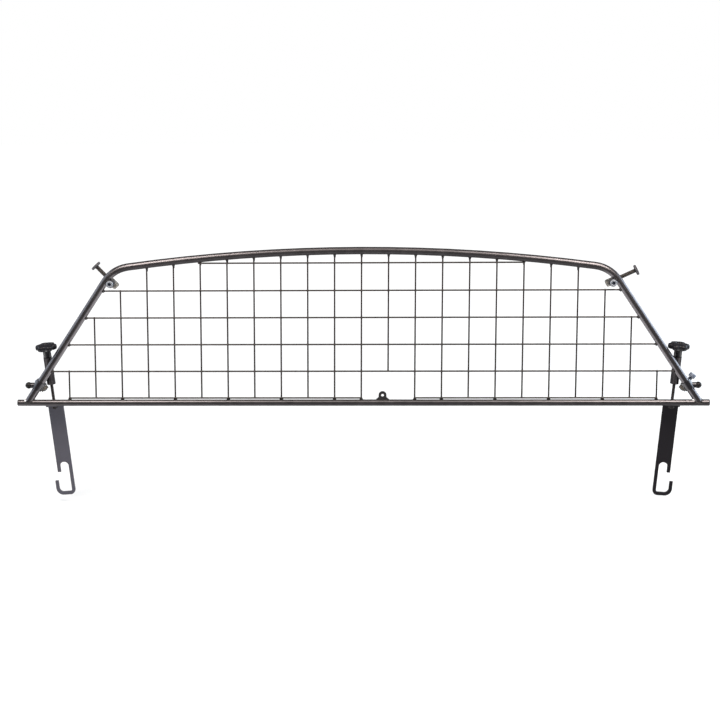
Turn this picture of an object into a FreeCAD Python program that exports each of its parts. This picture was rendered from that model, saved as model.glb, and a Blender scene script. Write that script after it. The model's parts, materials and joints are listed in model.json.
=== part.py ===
import FreeCAD, Part
import math
import os

import Sketcher

# Car dog guard: a welded tube and mesh frame with, on each side, a lashing hook unit,
# a roof support and a side buffer clamped to the leg.
# +X is to the right, +Y away from the viewer, +Z up. The origin is the centre of the cross tube.

os.makedirs("parts", exist_ok=True)
doc = FreeCAD.newDocument("dog_guard")

# Driving dimensions in millimetres and degrees. A name that ends in count is a number of copies.
SIZES = {
    # welded frame
    "cross_overhang": 19.3,
    "cross_diameter": 12.0,
    "cross_wall": 1.5,
    "plug_flange": 1.5,
    "plug_depth": 12.0,
    "arch_diameter": 14.0,
    "arch_wall": 1.5,
    "crown_height": 285.6,
    "arch_radius": 3230.0,
    "bend_radius": 62.0,
    "foot_reach": 629.7,
    "leg_lean": 33.75,
    "weld_sink": 0.3,
    # welded mesh
    "upright_pitch": 50.0,
    "rail_count": 6,
    "low_rail_gap": 1.8,
    "lug_rail_gap": 4.5,
    "top_rail_gap": 15.5,
    "wire_diameter": 3.0,
    "mesh_lean": 0.5,
    # divider lug on the cross tube
    "divider_position": 40.0,
    "divider_rise": 14.2,
    "divider_radius": 7.4,
    "divider_foot": 25.0,
    "divider_thickness": 5.0,
    "divider_hole": 5.5,
    # hook axis and sleeve behind each leg
    "left_hook_cross": 59.5,
    "right_hook_cross": 62.7,
    "left_hook_lift": 3.3,
    "right_hook_lift": 0.0,
    "hook_tilt": 4.1,
    "hook_front_tilt": 8.0,
    "sleeve_diameter": 16.0,
    "sleeve_rise": 22.5,
    "sleeve_drop": 30.0,
    "running_clearance": 0.05,
    "seat_gap": 0.3,
    # star knob with its insert
    "knob_diameter": 40.5,
    "knob_lobe_count": 6,
    "knob_scallop": 8.5,
    "knob_scallop_reach": 4.2,
    "knob_rim": 10.0,
    "knob_dome": 2.0,
    "knob_hub_diameter": 15.0,
    "knob_hub": 14.5,
    "knob_recess_diameter": 11.0,
    "knob_recess": 5.0,
    "insert_diameter": 9.0,
    "insert_length": 14.0,
    # hook rod and its nuts
    "rod_diameter": 6.0,
    "rod_tip": 2.0,
    "rod_chamfer": 0.6,
    "hook_nut_flats": 10.0,
    "hook_nut_height": 5.0,
    # hook plate, its hook measured from the lower end
    "flange_drop": 69.0,
    "flange_reach": 9.0,
    "plate_setback": 8.0,
    "plate_thickness": 4.0,
    "plate_bend": 3.0,
    "plate_width": 29.0,
    "plate_length": 190.0,
    "hook_bar": 6.3,
    "hook_step": 7.5,
    "slot_top": 67.6,
    "mouth_top": 47.4,
    "mouth_height": 17.8,
    "hook_heel": 10.0,
    "hook_toe": 14.0,
    # roof support
    "pivot_angle": 36.6,
    "pivot_gap": 0.2,
    "pivot_engagement": 7.5,
    "roof_lug_radius": 7.5,
    "barrel_diameter": 14.0,
    "barrel_inner": 12.0,
    "barrel_outer": 12.0,
    "barrel_end_wall": 2.0,
    "barrel_dome": 3.0,
    "cap_thread": 8.0,
    "cap_head_diameter": 13.0,
    "cap_head_height": 8.0,
    "cap_key_flats": 6.0,
    "cap_key_depth": 4.0,
    "cap_chamfer": 0.8,
    "roof_bolt_diameter": 8.0,
    "roof_bolt_length": 50.0,
    "roof_foot_diameter": 20.0,
    "roof_foot_thickness": 4.5,
    "roof_foot_socket": 2.5,
    "roof_foot_rounding": 1.2,
    "left_bolt_depth": 6.2,
    "right_bolt_depth": 0.2,
    "left_roof_angle": 46.0,
    "right_roof_angle": 24.6,
    # side buffer clamp
    "left_clamp_gap": 3.7,
    "right_clamp_gap": 4.2,
    "clamp_skew": 20.0,
    "strap_width": 16.0,
    "strap_thickness": 2.0,
    "cheek_front": 4.0,
    "cheek_back": 7.5,
    "cheek_height": 13.0,
    "left_cheek_outer": 3.2,
    "right_cheek_outer": 5.0,
    "cheek_inner": 7.3,
    "clamp_slit": 2.0,
    "left_screw_stand": 0.3,
    "right_screw_stand": 9.5,
    "clamp_nut_flats": 13.0,
    "clamp_nut_height": 6.5,
    "buffer_reach": 19.5,
    "buffer_ball": 12.5,
    "buffer_boss": 10.5,
    "buffer_neck": 4.2,
    "buffer_dimple": 2.6,
    "stud_diameter": 6.0,
    # shared by all cuts that run past a face
    "overrun": 1.0,
}

# Places worked out from the driving dimensions, as formulas of the sheet.
LAYOUT = {
    "cross_length": "2 * (Sizes.foot_reach + Sizes.cross_overhang)",
    "cross_radius": "Sizes.cross_diameter / 2",
    "arch_outer": "Sizes.arch_diameter / 2",
    "arch_centre": "Sizes.crown_height - Sizes.arch_radius",
    # the bend touches the leg line and the long arc: t is the distance from the foot to the bend
    "bend_base_x": "Sizes.foot_reach - Sizes.bend_radius * cos(Sizes.leg_lean)",
    "bend_base_z": "-Sizes.bend_radius * sin(Sizes.leg_lean) - arch_centre",
    "bend_along": "bend_base_z * cos(Sizes.leg_lean) - bend_base_x * sin(Sizes.leg_lean)",
    "bend_square": "bend_base_x ^ 2 + bend_base_z ^ 2 - (Sizes.arch_radius - Sizes.bend_radius) ^ 2",
    "leg_length": "sqrt(bend_along ^ 2 - bend_square) - bend_along",
    "leg_top_x": "Sizes.foot_reach - leg_length * sin(Sizes.leg_lean)",
    "leg_top_z": "leg_length * cos(Sizes.leg_lean)",
    "bend_x": "leg_top_x - Sizes.bend_radius * cos(Sizes.leg_lean)",
    "bend_z": "leg_top_z - Sizes.bend_radius * sin(Sizes.leg_lean)",
    "arch_end_x": "bend_x * Sizes.arch_radius / (Sizes.arch_radius - Sizes.bend_radius)",
    "arch_end_z": "arch_centre + (bend_z - arch_centre) * Sizes.arch_radius"
                  " / (Sizes.arch_radius - Sizes.bend_radius)",
    # mesh wires lie either side of the tube's middle plane and share a thin weld
    "wire_offset": "(Sizes.wire_diameter - Sizes.weld_sink) / 2",
    # the hook axis crosses behind the leg, with the sleeve against the tube
    "left_hook_x": "Sizes.foot_reach - Sizes.left_hook_cross * tan(Sizes.leg_lean)",
    "right_hook_x": "Sizes.foot_reach - Sizes.right_hook_cross * tan(Sizes.leg_lean)",
    "hook_back": "arch_outer + Sizes.sleeve_diameter / 2 - Sizes.weld_sink",
    "hook_angle": "Sizes.leg_lean + Sizes.hook_tilt",
    "hook_y": "hook_back * sqrt(1 + (tan(Sizes.hook_front_tilt) / sin(hook_angle)) ^ 2)",
    "knob_seat": "Sizes.sleeve_rise + Sizes.seat_gap",
    "knob_height": "Sizes.knob_hub + Sizes.knob_rim + Sizes.knob_dome",
    "insert_bottom": "knob_seat + knob_height - Sizes.knob_recess - Sizes.insert_length",
    "rod_bottom": "-Sizes.flange_drop - Sizes.plate_thickness - Sizes.seat_gap"
                  " - Sizes.hook_nut_height - Sizes.rod_tip",
    "rod_length": "insert_bottom + Sizes.insert_length - rod_bottom",
    "slot_width": "Sizes.plate_width - 2 * Sizes.hook_bar",
    # the pivot screw passes just inside the shoulder bend, and the barrel runs behind the tube
    "cap_bore": "Sizes.cap_thread / 2 + Sizes.running_clearance",
    "bolt_bore": "Sizes.roof_bolt_diameter / 2 + Sizes.running_clearance",
    "pivot_radius": "Sizes.bend_radius - arch_outer - cap_bore - Sizes.pivot_gap",
    "pivot_x": "bend_x + pivot_radius * cos(Sizes.pivot_angle)",
    "pivot_z": "bend_z + pivot_radius * sin(Sizes.pivot_angle)",
    # the lowest rail clears the cross tube, the last but one the roof lugs and the top one the crown
    "low_rail": "cross_radius + Sizes.low_rail_gap + Sizes.wire_diameter / 2",
    "lug_rail": "pivot_z - Sizes.roof_lug_radius - Sizes.lug_rail_gap - Sizes.wire_diameter / 2",
    "top_rail": "Sizes.crown_height - arch_outer - Sizes.top_rail_gap",
    "rail_pitch": "(lug_rail - low_rail) / (Sizes.rail_count - 2)",
    "block_front": "arch_outer + Sizes.seat_gap",
    "block_front_depth": "Sizes.pivot_engagement + Sizes.overrun + bolt_bore",
    "barrel_y": "block_front + block_front_depth",
    "pivot_screw_length": "2 * block_front + Sizes.pivot_engagement",
    # the clamp's screw passes behind the band, through both cheeks
    "strap_inner": "arch_outer + Sizes.seat_gap",
    "strap_outer": "strap_inner + Sizes.strap_thickness",
    "clamp_screw_y": "strap_outer + Sizes.seat_gap + Sizes.cap_head_diameter / 2",
    "clamp_back": "clamp_screw_y + Sizes.cheek_back",
    "boss_end": "Sizes.buffer_reach - Sizes.buffer_neck - Sizes.seat_gap",
    # the lower corner of the hook sleeve, below the crossing along the leg and beside the leg's axis,
    # and the clamp's place below that corner, where its nut stays clear of it; a lift raises both
    "corner_drop": "Sizes.sleeve_drop * cos(hook_angle) + Sizes.sleeve_diameter / 2 * sin(hook_angle)",
    "corner_aside": "Sizes.sleeve_drop * sin(hook_angle) - Sizes.sleeve_diameter / 2 * cos(hook_angle)",
    "clamp_drop": "corner_drop + Sizes.clamp_nut_flats / 2 / cos(Sizes.clamp_skew)"
                  " - corner_aside * tan(Sizes.clamp_skew)",
    "clamp_lift": "cos(hook_angle) + sin(hook_angle) * tan(Sizes.clamp_skew)",
    "left_clamp_height": "Sizes.left_hook_cross / cos(Sizes.leg_lean) + Sizes.left_hook_lift * clamp_lift"
                         " - clamp_drop - Sizes.left_clamp_gap",
    "right_clamp_height": "Sizes.right_hook_cross / cos(Sizes.leg_lean) + Sizes.right_hook_lift * clamp_lift"
                          " - clamp_drop - Sizes.right_clamp_gap",
}

SIDES = (("left", -1), ("right", 1))
SIDE_NAMES = {side: side_name for side_name, side in SIDES}
# The lowest rail leaves out the stretch between these uprights, where the divider lug stands.
GAP_START, GAP_END = 0, 2


def fill_sheet(name, entries):
    """A spreadsheet with one aliased cell for each entry."""
    sheet = doc.addObject("Spreadsheet::Sheet", name)
    for row, (alias, value) in enumerate(entries.items(), start=1):
        text = "=" + value if isinstance(value, str) else str(value)
        sheet.set("A%d" % row, alias)
        sheet.set("B%d" % row, text)
        sheet.setAlias("B%d" % row, alias)
    doc.recompute()
    return sheet


sizes = fill_sheet("Sizes", SIZES)
layout = fill_sheet("Layout", LAYOUT)


def value(expression):
    """The number that an expression of the sheets gives now."""
    found = sizes.evalExpression(str(expression))
    return getattr(found, "Value", found)


def bind(item, **expressions):
    """Binds properties of a document object to expressions of the sheets."""
    for name, expression in expressions.items():
        item.setExpression(name, str(expression))
    return item


def place(item, x="0", y="0", z="0", turn="rotation(0; 0; 0)"):
    """Binds a piece's placement to a point and a rotation."""
    item.setExpression("Placement", "placement(vector(%s; %s; %s); %s)" % (x, y, z, turn))
    return item


def body(label):
    made = doc.addObject("PartDesign::Body", label)
    made.Label = label
    return made


def own_plane(owner, role):
    """One of the origin planes of a body, such as its XY_Plane."""
    return [item for item in owner.Origin.OriginFeatures if item.Role == role][0]


def sketch_on(owner, role, name):
    """A sketch on one of the body's own origin planes."""
    made = owner.newObject("Sketcher::SketchObject", name)
    made.AttachmentSupport = [(own_plane(owner, role), "")]
    made.MapMode = "FlatFace"
    doc.recompute()
    return made


def fix_point(sketch, edge, end, x=None, y=None):
    """Ties one point of a sketch edge to its distances from the sketch's origin."""
    for kind, expression in (("DistanceX", x), ("DistanceY", y)):
        if expression is None:
            continue
        number = sketch.addConstraint(Sketcher.Constraint(kind, -1, 1, edge, end, value(expression)))
        sketch.setExpression("Constraints[%d]" % number, str(expression))


def circle(sketch, radius, x="0", y="0"):
    centre = FreeCAD.Vector(value(x), value(y), 0)
    edge = sketch.addGeometry(Part.Circle(centre, FreeCAD.Vector(0, 0, 1), value(radius)))
    fix_point(sketch, edge, 3, x, y)
    number = sketch.addConstraint(Sketcher.Constraint("Radius", edge, value(radius)))
    sketch.setExpression("Constraints[%d]" % number, str(radius))


def outline(sketch, points, closed=True):
    """Lines and arcs through points given as expressions.

    A point is (x, y) for a line to it, or (x, y, centre x, centre y, turn) for an arc to it,
    where turn is 1 counterclockwise and -1 clockwise. The first point is only a start.
    """
    edges = []
    steps = list(zip(points, points[1:] + ([points[0]] if closed else [])))
    for begin, end in steps:
        a = FreeCAD.Vector(value(begin[0]), value(begin[1]), 0)
        b = FreeCAD.Vector(value(end[0]), value(end[1]), 0)
        if len(end) == 2:
            edges.append((sketch.addGeometry(Part.LineSegment(a, b)), 1, 2))
            continue
        centre = FreeCAD.Vector(value(end[2]), value(end[3]), 0)
        ring = Part.Circle(centre, FreeCAD.Vector(0, 0, 1), (a - centre).Length)
        first, last = (a, b) if end[4] > 0 else (b, a)
        start_angle = math.atan2(first.y - centre.y, first.x - centre.x)
        end_angle = math.atan2(last.y - centre.y, last.x - centre.x)
        if end_angle <= start_angle:
            end_angle += 2 * math.pi
        edge = sketch.addGeometry(Part.ArcOfCircle(ring, start_angle, end_angle))
        edges.append((edge, 1, 2) if end[4] > 0 else (edge, 2, 1))
    for number, (begin, end) in enumerate(steps):
        edge, start_end, _ = edges[number]
        if number or closed:
            before, _, before_end = edges[number - 1]
            sketch.addConstraint(Sketcher.Constraint("Coincident", before, before_end, edge, start_end))
        previous_arc = len(begin) > 2 and (number or closed)
        if previous_arc:
            # the end of an arc keeps only the coordinate that its radius leaves free
            flat = abs(value(begin[0]) - value(begin[2])) > abs(value(begin[1]) - value(begin[3]))
            fix_point(sketch, edge, start_end, None if flat else begin[0], begin[1] if flat else None)
        else:
            fix_point(sketch, edge, start_end, begin[0], begin[1])
        if len(end) > 2:
            fix_point(sketch, edge, 3, end[2], end[3])
    if not closed:
        edge, _, far_end = edges[-1]
        last = points[-1]
        arc = len(last) > 2
        flat = arc and abs(value(last[0]) - value(last[2])) > abs(value(last[1]) - value(last[3]))
        upright = arc and not flat
        fix_point(sketch, edge, far_end, None if flat else last[0], None if upright else last[1])


def pad(owner, sketch, length, symmetric=False, reverse=False):
    made = owner.newObject("PartDesign::Pad", owner.Label + "_pad")
    made.Profile = sketch
    made.Midplane = symmetric
    made.Reversed = reverse
    bind(made, Length=length)
    doc.recompute()
    return made


def pocket(owner, sketch, length, symmetric=False, reverse=False):
    """A pocket whose cut is checked by volume."""
    before = owner.Shape.Volume
    made = owner.newObject("PartDesign::Pocket", owner.Label + "_pocket")
    made.Profile = sketch
    made.Midplane = symmetric
    made.Reversed = reverse
    bind(made, Length=length)
    doc.recompute()
    if owner.Shape.Volume >= before:
        raise ValueError("a pocket of %s cuts nothing" % owner.Label)
    return made


def revolve(owner, sketch, axis="V_Axis"):
    made = owner.newObject("PartDesign::Revolution", owner.Label + "_turned")
    made.Profile = sketch
    made.ReferenceAxis = (sketch, [axis])
    doc.recompute()
    return made


def soften(owner, kind, size, chosen):
    """A fillet or chamfer on the edges of the body that the test picks."""
    edges = ["Edge%d" % number for number, edge in enumerate(owner.Shape.Edges, start=1) if chosen(edge)]
    base = owner.Tip
    made = owner.newObject("PartDesign::" + kind, owner.Label + "_" + kind.lower())
    made.Base = (base, edges)
    bind(made, **{"Radius" if kind == "Fillet" else "Size": size})
    doc.recompute()
    return made


def part(kind, name, **expressions):
    """A Part primitive bound to the sheets."""
    return bind(doc.addObject("Part::" + kind, name), **expressions)


def combine(kind, name, base, tool):
    made = doc.addObject("Part::" + kind, name)
    made.Base = base
    made.Tool = tool
    made.Label = name
    doc.recompute()
    return made


def group(name, members):
    """Separate solids that share one node."""
    made = doc.addObject("Part::Compound", name)
    made.Links = members
    made.Label = name
    doc.recompute()
    return made


def ring_tube(label, role, outer, bore, length, symmetric=False):
    """A straight tube, padded from two circles."""
    made = body(label)
    profile = sketch_on(made, role, label + "_ring")
    circle(profile, outer)
    circle(profile, bore)
    pad(made, profile, length, symmetric)
    return made


def cross_tube():
    return ring_tube(
        "cross_tube", "YZ_Plane", "Layout.cross_radius", "Layout.cross_radius - Sizes.cross_wall",
        "Layout.cross_length - 2 * Sizes.plug_flange", symmetric=True)


def tube_plug(side_name, side):
    """Plastic plug: a flange with a rounded rim over a stem that fills the tube's bore."""
    plug = body("tube_plug_" + side_name)
    profile = sketch_on(plug, "XY_Plane", "profile")
    bore = "Layout.cross_radius - Sizes.cross_wall"
    outline(profile, [
        ("0", "0"),
        ("Layout.cross_radius - Sizes.plug_flange", "0"),
        ("Layout.cross_radius", "-Sizes.plug_flange",
         "Layout.cross_radius - Sizes.plug_flange", "-Sizes.plug_flange", -1),
        (bore, "-Sizes.plug_flange"),
        (bore, "-Sizes.plug_depth"),
        ("0", "-Sizes.plug_depth"),
    ])
    revolve(plug, profile)
    return place(plug, x="%d * Layout.cross_length / 2" % side,
                 turn="rotation(vector(0; 0; 1); %d)" % (-90 * side))


def arch_pipe(label, hollow):
    """The bent tube: half of it is swept from the crown to the foot, then mirrored."""
    tube = body(label)
    path = sketch_on(tube, "XZ_Plane", label + "_path")
    outline(path, [
        ("0", "Sizes.crown_height"),
        ("Layout.arch_end_x", "Layout.arch_end_z", "0", "Layout.arch_centre", -1),
        ("Layout.leg_top_x", "Layout.leg_top_z", "Layout.bend_x", "Layout.bend_z", -1),
        ("Sizes.foot_reach", "0"),
    ], closed=False)
    profile = sketch_on(tube, "YZ_Plane", label + "_profile")
    circle(profile, "Layout.arch_outer", y="Sizes.crown_height")
    if hollow:
        circle(profile, "Layout.arch_outer - Sizes.arch_wall", y="Sizes.crown_height")
    pipe = tube.newObject("PartDesign::AdditivePipe", label + "_half")
    pipe.Profile = profile
    pipe.Spine = path
    doc.recompute()
    mirror = tube.newObject("PartDesign::Mirrored", label + "_mirrored")
    mirror.Originals = [pipe]
    mirror.MirrorPlane = (own_plane(tube, "YZ_Plane"), [""])
    tube.Tip = mirror
    doc.recompute()
    return tube


def arch_tube():
    """The feet are coped to sit on the cross tube."""
    tube = arch_pipe("arch_tube", hollow=True)
    cope = sketch_on(tube, "YZ_Plane", "cope")
    circle(cope, "Layout.cross_radius - Sizes.weld_sink")
    pocket(tube, cope, "2 * Sizes.foot_reach + 4 * Sizes.arch_diameter", symmetric=True)
    lower = sketch_on(tube, "YZ_Plane", "below_cross_tube")
    half = "(Sizes.arch_diameter + Sizes.overrun)"
    outline(lower, [("-" + half, "0"), (half, "0"), (half, "-2 * " + half), ("-" + half, "-2 * " + half)])
    pocket(tube, lower, "2 * Sizes.foot_reach + 4 * Sizes.arch_diameter", symmetric=True)
    return tube


def under_arch(x):
    """Expression for the height of the tube's underside above a place on the cross tube."""
    reach = "abs(%s)" % x
    if value(reach) < value("Layout.arch_end_x"):
        return "Layout.arch_centre + sqrt((Sizes.arch_radius - Layout.arch_outer) ^ 2 - %s ^ 2)" % reach
    if value(reach) < value("Layout.leg_top_x - Layout.arch_outer * cos(Sizes.leg_lean)"):
        inner = "(Sizes.bend_radius - Layout.arch_outer)"
        return "Layout.bend_z + sqrt(%s ^ 2 - (%s - Layout.bend_x) ^ 2)" % (inner, reach)
    return "(Sizes.foot_reach - Layout.arch_outer / cos(Sizes.leg_lean) - %s) / tan(Sizes.leg_lean)" % reach


def inside_leg(z):
    """Expression for the reach of the tube's inner side at a height."""
    height = "(%s)" % z
    if value(height) < value("Layout.leg_top_z - Layout.arch_outer * sin(Sizes.leg_lean)"):
        return "Sizes.foot_reach - Layout.arch_outer / cos(Sizes.leg_lean)" \
               " - %s * tan(Sizes.leg_lean)" % height
    inner = "(Sizes.bend_radius - Layout.arch_outer)"
    return "Layout.bend_x + sqrt(%s ^ 2 - (%s - Layout.bend_z) ^ 2)" % (inner, height)


def leaned(x, z):
    """Expression for the place of an upright at a height, as all the uprights lean a little to the right."""
    return "%s + tan(Sizes.mesh_lean) * (%s)" % (x, z)


def wire(name, length, x, y, z, turn):
    made = part("Cylinder", name, Radius="Sizes.wire_diameter / 2", Height=length)
    return place(made, x, y, z, turn)


def rail_height(number):
    if number == SIZES["rail_count"] - 1:
        return "Layout.top_rail"
    return "Layout.low_rail + %d * Layout.rail_pitch" % number


def reaches_arch(number):
    """True where the upright meets the long arch, and not the shoulder bend or the leg."""
    return value("%d * Sizes.upright_pitch" % number) < value("Layout.arch_end_x")


def upright_pairs():
    """Number of uprights on each side of the middle one: all that reach the second rail inside the leg."""
    return int(value(inside_leg(rail_height(1))) // SIZES["upright_pitch"])


def mesh_uprights():
    """Upright wires: the middle ones reach the arch, the outer ones stop at the last rail below the leg."""
    wires = []
    pairs = upright_pairs()
    for number in range(-pairs, pairs + 1):
        foot = "%d * Sizes.upright_pitch" % number
        under = under_arch(foot)
        if reaches_arch(abs(number)):
            top = under_arch(leaned(foot, under)) + " + Sizes.weld_sink + Sizes.arch_wall / 2"
        else:
            below = [k for k in range(SIZES["rail_count"]) if value(rail_height(k)) < value(under)]
            top = rail_height(below[-1]) + " + Sizes.wire_diameter / 2"
        to_tube = number % 2 or number in (GAP_START, GAP_END)
        if GAP_START < number < GAP_END:
            bottom = rail_height(1) + " - Sizes.wire_diameter / 2"
        elif to_tube:
            bottom = "Layout.cross_radius - Sizes.cross_wall / 2"
        else:
            bottom = rail_height(0) + " - Sizes.wire_diameter / 2"
        wires.append(wire(
            "upright_%d" % (number + pairs), "(%s - (%s)) / cos(Sizes.mesh_lean)" % (top, bottom),
            leaned(foot, bottom), "Layout.wire_offset", bottom,
            "rotation(vector(0; 1; 0); Sizes.mesh_lean)"))
    return group("mesh_uprights", wires)


def mesh_rails():
    """Horizontal wires in front of the uprights. The lowest leaves a gap round the divider lug."""
    wires = []
    along_x = "rotation(vector(0; 1; 0); 90)"
    half_wire = " + Sizes.wire_diameter / 2"
    last = SIZES["rail_count"] - 1
    for number in range(SIZES["rail_count"]):
        z = rail_height(number)
        if number == 0:
            end = "%d * Sizes.upright_pitch" % upright_pairs() + half_wire
            spans = [("-(%s)" % end, "%d * Sizes.upright_pitch" % GAP_START + half_wire),
                     ("%d * Sizes.upright_pitch - Sizes.wire_diameter / 2" % GAP_END, end)]
        elif number == last:
            under = [k for k in range(upright_pairs())
                     if reaches_arch(k) and value(under_arch("%d * Sizes.upright_pitch" % k)) > value(z)]
            end = "%d * Sizes.upright_pitch" % under[-1] + half_wire
            spans = [("-(%s)" % end, end)]
        else:
            end = inside_leg(z) + " + Sizes.weld_sink + Sizes.arch_wall / 2"
            spans = [("-(%s)" % end, end)]
        for part_number, (start, stop) in enumerate(spans):
            wires.append(wire(
                "rail_%d_%d" % (number, part_number), "%s - (%s)" % (stop, start),
                start, "-Layout.wire_offset", z, along_x))
    return group("mesh_rails", wires)


def divider_lug():
    """Round-topped eye whose foot sits on the cross tube."""
    lug = body("divider_lug")
    profile = sketch_on(lug, "XZ_Plane", "outline")
    outline(profile, [
        ("Sizes.divider_foot / 2", "0"),
        ("Sizes.divider_foot / 2", "Layout.cross_radius"),
        ("Sizes.divider_radius", "Sizes.divider_rise - Sizes.divider_radius / 2"),
        ("Sizes.divider_radius", "Sizes.divider_rise"),
        ("-Sizes.divider_radius", "Sizes.divider_rise", "0", "Sizes.divider_rise", 1),
        ("-Sizes.divider_radius", "Sizes.divider_rise - Sizes.divider_radius / 2"),
        ("-Sizes.divider_foot / 2", "Layout.cross_radius"),
        ("-Sizes.divider_foot / 2", "0"),
    ])
    pad(lug, profile, "Sizes.divider_thickness", symmetric=True)
    eye = sketch_on(lug, "XZ_Plane", "eye")
    circle(eye, "Sizes.divider_hole / 2", y="Sizes.divider_rise")
    pocket(lug, eye, "Sizes.divider_thickness + 2 * Sizes.overrun", symmetric=True)
    saddle = sketch_on(lug, "YZ_Plane", "saddle")
    circle(saddle, "Layout.cross_radius - Sizes.weld_sink")
    pocket(lug, saddle, "Sizes.divider_foot + 2 * Sizes.overrun", symmetric=True)
    return place(lug, x="Sizes.divider_position")


def on_hook_axis(item, side_name, side, height="0"):
    """Places a piece on the hook axis, at a height along it above the crossing with the leg.

    The axis leans outward and then towards the front. Each side's pieces share a lift.
    """
    height = "%s + Sizes.%s_hook_lift" % (height, side_name)
    out = "cos(Sizes.hook_front_tilt) * sin(Sizes.hook_tilt) * (%s)" % height
    back = "-sin(Sizes.hook_front_tilt) * (%s)" % height
    up = "cos(Sizes.hook_front_tilt) * cos(Sizes.hook_tilt) * (%s)" % height
    return place(
        item, "%d * (Layout.%s_hook_x + %s)" % (side, side_name, out), "Layout.hook_y + %s" % back,
        "Sizes.%s_hook_cross + %s" % (side_name, up),
        "rotation(0; %d * Sizes.hook_tilt; Sizes.hook_front_tilt)" % side)


def rod_bore():
    return "Sizes.rod_diameter / 2 + Sizes.running_clearance"


def hook_sleeve(side_name, side):
    sleeve = ring_tube(
        "hook_sleeve_" + side_name, "XY_Plane", "Sizes.sleeve_diameter / 2", rod_bore(),
        "Sizes.sleeve_rise + Sizes.sleeve_drop")
    return on_hook_axis(sleeve, side_name, side, "-Sizes.sleeve_drop")


def knob(side_name, side):
    """Star knob: a turned blank with scallops round its rim."""
    made = body("knob_" + side_name)
    profile = sketch_on(made, "XZ_Plane", "profile")
    rim = "Sizes.knob_diameter / 2"
    edge = "Sizes.knob_dome"
    hub = "Sizes.knob_hub_diameter / 2"
    top = "Layout.knob_height"
    outline(profile, [
        ("Sizes.insert_diameter / 2", "0"),
        (hub, "0"),
        (hub, "Sizes.knob_hub - " + edge),
        ("%s + %s" % (hub, edge), "Sizes.knob_hub", "%s + %s" % (hub, edge), "Sizes.knob_hub - " + edge, -1),
        ("%s - %s" % (rim, edge), "Sizes.knob_hub"),
        (rim, "Sizes.knob_hub + " + edge, "%s - %s" % (rim, edge), "Sizes.knob_hub + " + edge, 1),
        (rim, "Sizes.knob_hub + Sizes.knob_rim - " + edge),
        ("%s - %s" % (rim, edge), "Sizes.knob_hub + Sizes.knob_rim",
         "%s - %s" % (rim, edge), "Sizes.knob_hub + Sizes.knob_rim - " + edge, 1),
        ("Sizes.knob_recess_diameter / 2 + " + edge, top),
        ("Sizes.knob_recess_diameter / 2", top),
        ("Sizes.knob_recess_diameter / 2", top + " - Sizes.knob_recess"),
        ("Sizes.insert_diameter / 2", top + " - Sizes.knob_recess"),
    ])
    revolve(made, profile)
    scallop = sketch_on(made, "XY_Plane", "scallop")
    reach = "(%s + Sizes.knob_scallop - Sizes.knob_scallop_reach)" % rim
    across = "%s * cos(180 / Sizes.knob_lobe_count)" % reach
    along = "%s * sin(180 / Sizes.knob_lobe_count)" % reach
    circle(scallop, "Sizes.knob_scallop", across, along)
    cut = pocket(made, scallop, top + " + Sizes.overrun", reverse=True)
    pattern = made.newObject("PartDesign::PolarPattern", "scallops")
    pattern.Originals = [cut]
    pattern.Axis = (scallop, ["N_Axis"])
    pattern.Angle = 360
    bind(pattern, Occurrences="Sizes.knob_lobe_count")
    made.Tip = pattern
    doc.recompute()
    return on_hook_axis(made, side_name, side, "Layout.knob_seat")


def knob_insert(side_name, side):
    insert = ring_tube(
        "knob_insert_" + side_name, "XY_Plane", "Sizes.insert_diameter / 2", rod_bore(),
        "Sizes.insert_length")
    return on_hook_axis(insert, side_name, side, "Layout.insert_bottom")


def plain_rod(label, diameter, length, chamfer):
    """A round rod along its own Z with chamfered ends."""
    rod = body(label)
    profile = sketch_on(rod, "XY_Plane", "section")
    circle(profile, diameter + " / 2")
    pad(rod, profile, length)
    soften(rod, "Chamfer", chamfer, lambda edge: len(edge.Vertexes) == 1)
    return rod


def hook_rod(side_name, side):
    rod = plain_rod("hook_rod_" + side_name, "Sizes.rod_diameter", "Layout.rod_length", "Sizes.rod_chamfer")
    return on_hook_axis(rod, side_name, side, "Layout.rod_bottom")


def hex_nut(name, flats, height, bore):
    """A hexagon prism with a plain bore, along its own Z."""
    blank = part("Prism", name + "_blank", Circumradius="%s / 2 / cos(30)" % flats, Height=height)
    blank.Polygon = 6
    hole = part("Cylinder", name + "_hole", Radius=bore, Height=height + " + 2 * Sizes.overrun")
    place(hole, z="-Sizes.overrun")
    return combine("Cut", name, blank, hole)


def hook_nuts(side_name, side):
    """The two nuts that hold the hook plate's flange on the rod."""
    heights = {"low": "-Sizes.flange_drop - Sizes.plate_thickness - Sizes.seat_gap - Sizes.hook_nut_height",
               "top": "-Sizes.flange_drop + Sizes.seat_gap"}
    nuts = []
    for place_name, height in heights.items():
        nut = hex_nut("hook_nut_%s_%s" % (place_name, side_name), "Sizes.hook_nut_flats",
                      "Sizes.hook_nut_height", "Sizes.rod_diameter / 2")
        nuts.append(on_hook_axis(nut, side_name, side, height))
    return group("hook_nuts_" + side_name, nuts)


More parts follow.
